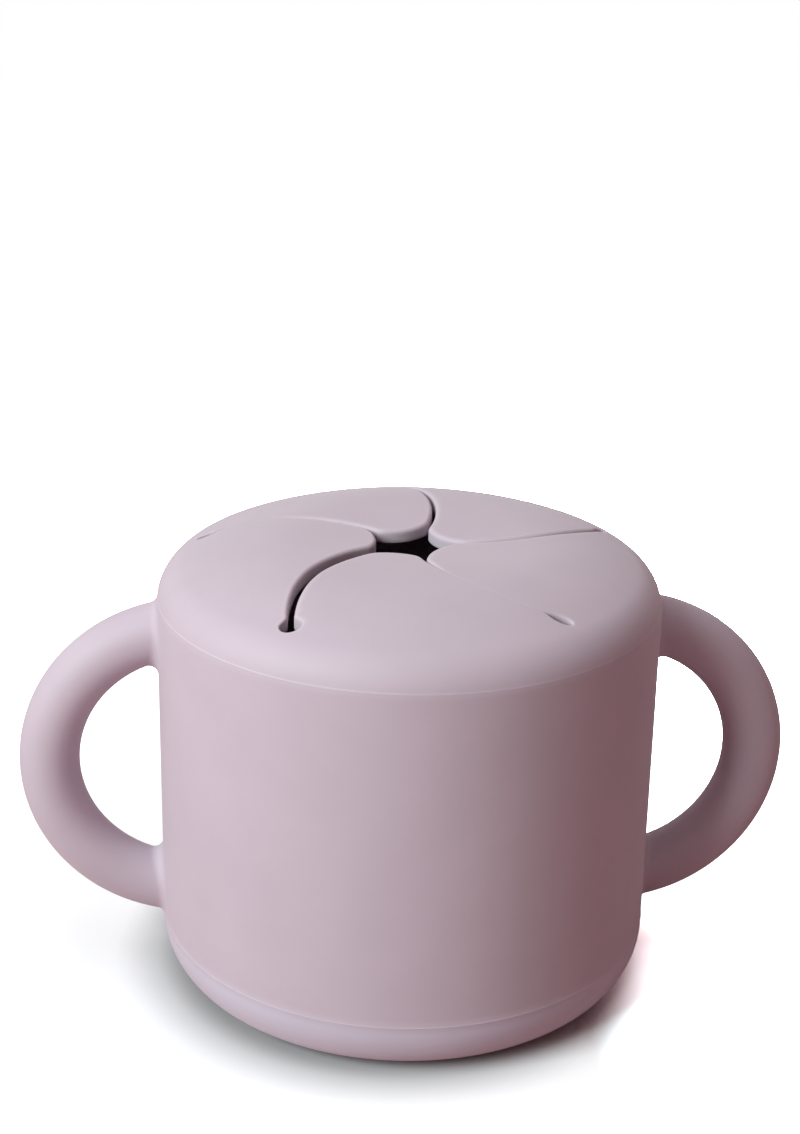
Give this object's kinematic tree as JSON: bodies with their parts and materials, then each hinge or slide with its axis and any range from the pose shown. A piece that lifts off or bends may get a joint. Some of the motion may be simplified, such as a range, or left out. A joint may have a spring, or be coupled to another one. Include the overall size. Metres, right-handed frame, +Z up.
{
  "type": "toddler snack container",
  "caption": "Soft two-handled toddler snack cup with a press-on domed lid whose curved slits form a pinwheel of springy flaps round a small star-shaped mouth.",
  "frame": {"origin": "middle of the underside, on the surface the cup stands on", "axes": "+Z up along the cup's axis; X through the two handles; -Y towards the viewer"},
  "size_m": [0.1409, 0.09, 0.0826],
  "materials": {
    "cup_silicone": "matt moulded food-grade silicone, pale lilac",
    "lid_silicone": "matt moulded food-grade silicone, pale lilac"
  },
  "bodies": {
    "cup": {"cup": "cup_silicone"},
    "lid": {"lid_rim": "lid_silicone"},
    "flap_rear_right": {"flap_rear_right": "lid_silicone"},
    "flap_rear_left": {"flap_rear_left": "lid_silicone"},
    "flap_left": {"flap_left": "lid_silicone"},
    "flap_front": {"flap_front": "lid_silicone"},
    "flap_right": {"flap_right": "lid_silicone"}
  },
  "joints": [
    {"name": "lid_lift", "type": "slide", "parent": "cup", "child": "lid", "axis": [0, 0, 1], "range_m": [0, 0.03]},
    {"name": "flap_rear_right_bend", "type": "hinge", "parent": "lid", "child": "flap_rear_right", "pos_m": [0.01807, 0.02487, 0.07951], "axis": [0.809, -0.5878, 0], "range_deg": [-20, 50], "stiffness_Nm_per_rad": 0.02},
    {"name": "flap_rear_left_bend", "type": "hinge", "parent": "lid", "child": "flap_rear_left", "pos_m": [-0.01807, 0.02487, 0.07951], "axis": [0.809, 0.5878, 0], "range_deg": [-20, 50], "stiffness_Nm_per_rad": 0.02},
    {"name": "flap_left_bend", "type": "hinge", "parent": "lid", "child": "flap_left", "pos_m": [-0.02924, -0.0095, 0.07951], "axis": [-0.309, 0.9511, 0], "range_deg": [-20, 50], "stiffness_Nm_per_rad": 0.02},
    {"name": "flap_front_bend", "type": "hinge", "parent": "lid", "child": "flap_front", "pos_m": [0, -0.03074, 0.07951], "axis": [-1, 0, 0], "range_deg": [-20, 50], "stiffness_Nm_per_rad": 0.02},
    {"name": "flap_right_bend", "type": "hinge", "parent": "lid", "child": "flap_right", "pos_m": [0.02924, -0.0095, 0.07951], "axis": [-0.309, -0.9511, 0], "range_deg": [-20, 50], "stiffness_Nm_per_rad": 0.02}
  ]
}
